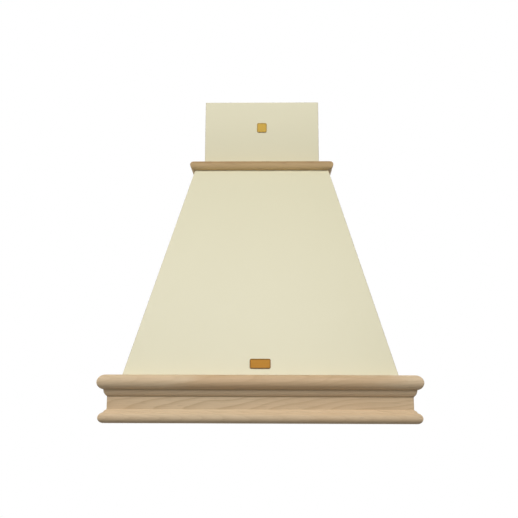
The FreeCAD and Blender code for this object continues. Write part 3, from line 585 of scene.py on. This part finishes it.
def cross_head(radius, rise):
    """A pan-head screw's head, standing up from z = 0, with a tapered cross recess.  The
    dome's and the cross's sizes are shares of the radius and the rise."""
    dome = ((1.0, 0.0), (1.0, 0.35), (0.93, 0.68), (0.76, 0.9), (0.56, 1.0))
    arm, half, floor, taper = radius * 0.44 * MM, radius * 0.11 * MM, rise * 0.4 * MM, 0.8
    bm = bmesh.new()
    rings = [circle(bm, radius * r * MM, rise * h * MM) for r, h in dome]
    skin(bm, rings)
    bm.faces.new(reversed(rings[0]))
    cross = []
    for c, s in ((1, 0), (0, 1), (-1, 0), (0, -1)):
        cross += [(x * c - y * s, x * s + y * c) for x, y in ((arm, half), (half, half), (half, arm))]
    rim = [bm.verts.new((x, y, rise * MM)) for x, y in cross]
    foot = [bm.verts.new((x * taper, y * taper, floor)) for x, y in cross]
    skin(bm, [rim, foot])
    bm.faces.new(foot)
    loops = [bm.edges.get((ring[i - 1], ring[i])) for ring in (rings[-1], rim) for i in range(len(ring))]
    bmesh.ops.bridge_loops(bm, edges=loops)
    return as_mesh(bm)


screw_turns = random.Random(7)


def screws(name, points, way, radius, rise):
    """Bright screws on the cover, each stopped at its own turn."""
    places = [place_at(*point, way, screw_turns.uniform(0, 90)) for point in points]
    scatter(name, cross_head(radius, rise), places, "cover", bright)


def rivets(name, points, way, radius, rise, body, material):
    dome = ((1.0, 0.0), (0.94, 0.5), (0.7, 0.86), (0.3, 1.0))  # shares of the radius and the rise
    head = turned([(radius * r, rise * h) for r, h in dome])
    scatter(name, head, [place_at(*point, way) for point in points], body, material)


def fascia_screws():
    """The fascia is screwed up into the base board along the middle of its side flanges."""
    flange_middle, flange_end = 5.2, 30.0  # from the fascia's edges
    low, high = corners("insert_fascia")
    columns = spaced(low.x + flange_middle, high.x - flange_middle, 2)
    rows = spaced(high.y - flange_end, low.y + flange_end, 3)
    screws("fascia_screws", [(x, y, low.z) for x in columns for y in rows], DOWN, 3.4, 1.9)


def filter_rivets(side):
    """A filter's frame is riveted at its corners, in the middle of its bars."""
    side_bar, front_bar, rear_bar = 6.0, 15.0, 11.0  # from the frame's edges, with its rear hooks
    low, high = corners(f"filter_frame_{side}")
    columns = (low.x + side_bar, high.x - side_bar)
    rows = (low.y + front_bar, high.y - rear_bar)
    places = [(x, y, low.z) for x in columns for y in rows]
    rivets(f"filter_rivets_{side}", places, DOWN, 1.9, 0.8, f"filter_{side}", steel)


def blower_fasteners():
    """Screws round the blower box's lid, clear of the collar, and rivets up its front corners."""
    lid_edge, seam_edge, seam_end, seam_count = 10.0, 8.0, 20.0, 5
    low, high = corners("blower_box")
    collar = middle("outlet_collar") / MM
    reach = corners("outlet_collar")[1].x - collar.x
    columns = spaced(low.x + lid_edge, high.x - lid_edge, 3)
    rows = spaced(low.y + lid_edge, high.y - lid_edge, 2)
    lid = [(x, y, high.z) for x in columns for y in rows if math.hypot(x - collar.x, y - collar.y) > reach]
    screws("blower_lid_screws", lid, UP, 3.2, 1.8)
    columns = spaced(low.x + seam_edge, high.x - seam_edge, 2)
    levels = spaced(low.z + seam_end, high.z - seam_end, seam_count)
    seam = [(x, low.y, z) for x in columns for z in levels]
    rivets("blower_seam_rivets", seam, FRONT, 2.4, 1.0, "cover", zinc)


def motor_arm_screws():
    """Three arms hold the motor on the casing's right side plate."""
    arm_count, arm_reach = 3, 57.0  # reach from the shaft to the arms' screws
    shaft, face = middle("motor_shaft") / MM, corners("fan_motor")[1].x
    turns = [2 * math.pi * i / arm_count for i in range(arm_count)]
    arms = [(face, shaft.y - arm_reach * math.sin(a), shaft.z + arm_reach * math.cos(a)) for a in turns]
    screws("motor_arm_screws", arms, RIGHT, 3.0, 1.7)


def terminal_box_screws():
    """The terminal box's lid is screwed down at its corners."""
    lid_edge = 7.0
    low, high = corners("terminal_box")
    columns = (low.x + lid_edge, high.x - lid_edge)
    rows = (low.y + lid_edge, high.y - lid_edge)
    screws("terminal_box_screws", [(x, y, high.z) for x in columns for y in rows], UP, 2.4, 1.2)


def lamp_insides():
    """A bowl and a bulb stand on each lamp's lens, both given as (radius, height) points."""
    bowl = turned([(22.8, 1), (21.5, 6), (18, 15), (12, 23), (7, 27)], steps=48, closed=False)
    bulb = turned([(5, 27), (5.5, 21), (5.5, 11), (4.6, 7), (2.6, 5), (0.6, 4.4)], steps=24)
    low, high = corners("lamp_lenses")
    lens_radius = (high.y - low.y) / 2
    for x, side in zip((low.x + lens_radius, high.x - lens_radius), SIDES):
        place = place_at(x, (low.y + high.y) / 2, high.z, UP)
        scatter(f"lamp_bowl_{side}", bowl, [place], "cover", bright)
        scatter(f"lamp_bulb_{side}", bulb, [place], "cover", glass)


fascia_screws()
for side in SIDES:
    filter_rivets(side)
blower_fasteners()
motor_arm_screws()
terminal_box_screws()
lamp_insides()

# ---------------------------------------------------------------- marks on the push buttons

MARK_RISE = 0.12  # millimetres that the print stands out


def bar_mesh(x, y, width, depth):
    """A flat bar centred on (x, y), with its foot at z = 0."""
    w, d = width / 2, depth / 2
    outline = [(x - w, y - d), (x + w, y - d), (x + w, y + d), (x - w, y + d)]
    bm = bmesh.new()
    rings = [[bm.verts.new((px * MM, py * MM, z * MM)) for px, py in outline] for z in (0, MARK_RISE)]
    skin(bm, rings)
    bm.faces.new(reversed(rings[0]))
    bm.faces.new(rings[1])
    return as_mesh(bm)


def ring_mesh(radius, width):
    outer, inner = radius + width / 2, radius - width / 2
    profile = [(inner, 0), (inner, MARK_RISE), (outer, MARK_RISE), (outer, 0), (inner, 0)]
    return turned(profile, steps=32, closed=False)


def rising_bars(count):
    """Bars that rise to one side from a common line, the tallest centred on the button."""
    width, shortest, step, pitch = 0.7, 1.6, 0.8, 1.6
    depths = [shortest + step * i for i in range(count)]
    return [
        bar_mesh(pitch * (i - (count - 1) / 2), (depth - depths[-1]) / 2, width, depth)
        for i, depth in enumerate(depths)
    ]


def lamp_mark():
    """A ring with four rays."""
    reach, length, width = 2.2, 0.8, 0.4
    across = [bar_mesh(x, 0, length, width) for x in (reach, -reach)]
    along = [bar_mesh(0, y, width, length) for y in (reach, -reach)]
    return [ring_mesh(1.2, 0.4)] + across + along


off_mark = [ring_mesh(1.7, 0.45)]
speed_marks = [rising_bars(count) for count in (1, 2, 3)]
for i, marks in enumerate([off_mark, *speed_marks, lamp_mark()], 1):
    button = f"button_{i}"
    low, high = corners(button)
    place = place_at((low.x + high.x) / 2, (low.y + high.y) / 2, low.z, DOWN, 180)
    for j, mark in enumerate(marks, 1):
        scatter(f"{button}_mark_{j}", mark, [place], button, black, smooth=False)

# ---------------------------------------------------------------- floor, light and camera


def seen_directly(g):
    """1 for camera, glossy and transmission rays, 0 for the rays that light things."""
    path = g.add("LightPath").node
    seen = g.calc("MAXIMUM", path.outputs["Is Camera Ray"], path.outputs["Is Glossy Ray"])
    return g.calc("MAXIMUM", seen, path.outputs["Is Transmission Ray"])


def stage_floor():
    """A round pale floor well under the hood, which shows white where no shadow falls."""
    radius, place = 3.6, (0, -0.2, -1.45)
    bm = bmesh.new()
    bmesh.ops.create_circle(bm, cap_ends=True, radius=radius, segments=96)
    mesh = bpy.data.meshes.new("floor")
    bm.to_mesh(mesh)
    bm.free()
    floor = bpy.data.objects.new("floor", mesh)
    floor.location = place
    bpy.context.scene.collection.objects.link(floor)
    g = new_material("floor")
    light = g.add("BsdfDiffuse", {"Color": tint(0.3, 0.3, 0.298)})
    glow = g.add("Emission", {"Color": tint(1, 1, 1), "Strength": 0.8})
    both = g.add("AddShader", {0: light, 1: glow})
    g.add("OutputMaterial", {"Surface": g.add("MixShader", {0: seen_directly(g), 1: light, 2: both})})
    mesh.materials.append(g.owner)


def white_world():
    """White where it is seen, and a weak even fill where it lights."""
    world = bpy.data.worlds.new("white")
    g = Graph(world)
    fill = g.add("Background", {"Color": tint(1, 1, 1), "Strength": 0.15})
    shown = g.add("Background", {"Color": tint(1, 1, 1), "Strength": 1.0})
    g.add("OutputWorld", {"Surface": g.add("MixShader", {0: seen_directly(g), 1: fill, 2: shown})})
    bpy.context.scene.world = world


def softbox(name, place, target, width, height, power):
    """A rectangular lamp of width by height metres and power watts, which looks at target."""
    lamp = bpy.data.lights.new(name, "AREA")
    lamp.shape = "RECTANGLE"
    lamp.size = width
    lamp.size_y = height
    lamp.energy = power
    obj = bpy.data.objects.new(name, lamp)
    obj.location = place
    obj.rotation_euler = (Vector(target) - Vector(place)).to_track_quat("-Z", "Y").to_euler()
    bpy.context.scene.collection.objects.link(obj)


def aim_camera():
    """The camera at the photograph's angle, solved from the object's corners."""
    lens, sensor = 47.76, 36.0  # millimetres
    place = (0.0171, -1.7763, 0.0731)
    turn, pitch, roll = [math.radians(angle) for angle in (0.86, 100.23, 0.16)]
    data = bpy.data.cameras.new("camera")
    data.lens = lens
    data.sensor_width = sensor
    camera = bpy.data.objects.new("camera", data)
    aim = Matrix.Rotation(turn, 4, "Z") @ Matrix.Rotation(pitch, 4, "X") @ Matrix.Rotation(roll, 4, "Z")
    camera.matrix_world = Matrix.Translation(place) @ aim
    bpy.context.scene.collection.objects.link(camera)
    bpy.context.scene.camera = camera


stage_floor()
white_world()
softbox("key", (-0.2, -2.05, 2.0), (0, -0.3, 0.2), 2.0, 0.9, 43)
softbox("front", (0.3, -2.4, 0.2), (0, -0.4, 0.1), 1.2, 0.7, 5.4)
softbox("rear", (0.9, 1.7, 1.3), (0, -0.1, 0.35), 1.4, 1.0, 14)
softbox("side", (-2.1, 0.5, 1.1), (0, -0.2, 0.3), 1.2, 1.0, 14)
aim_camera()
bpy.context.scene.view_settings.view_transform = "Standard"
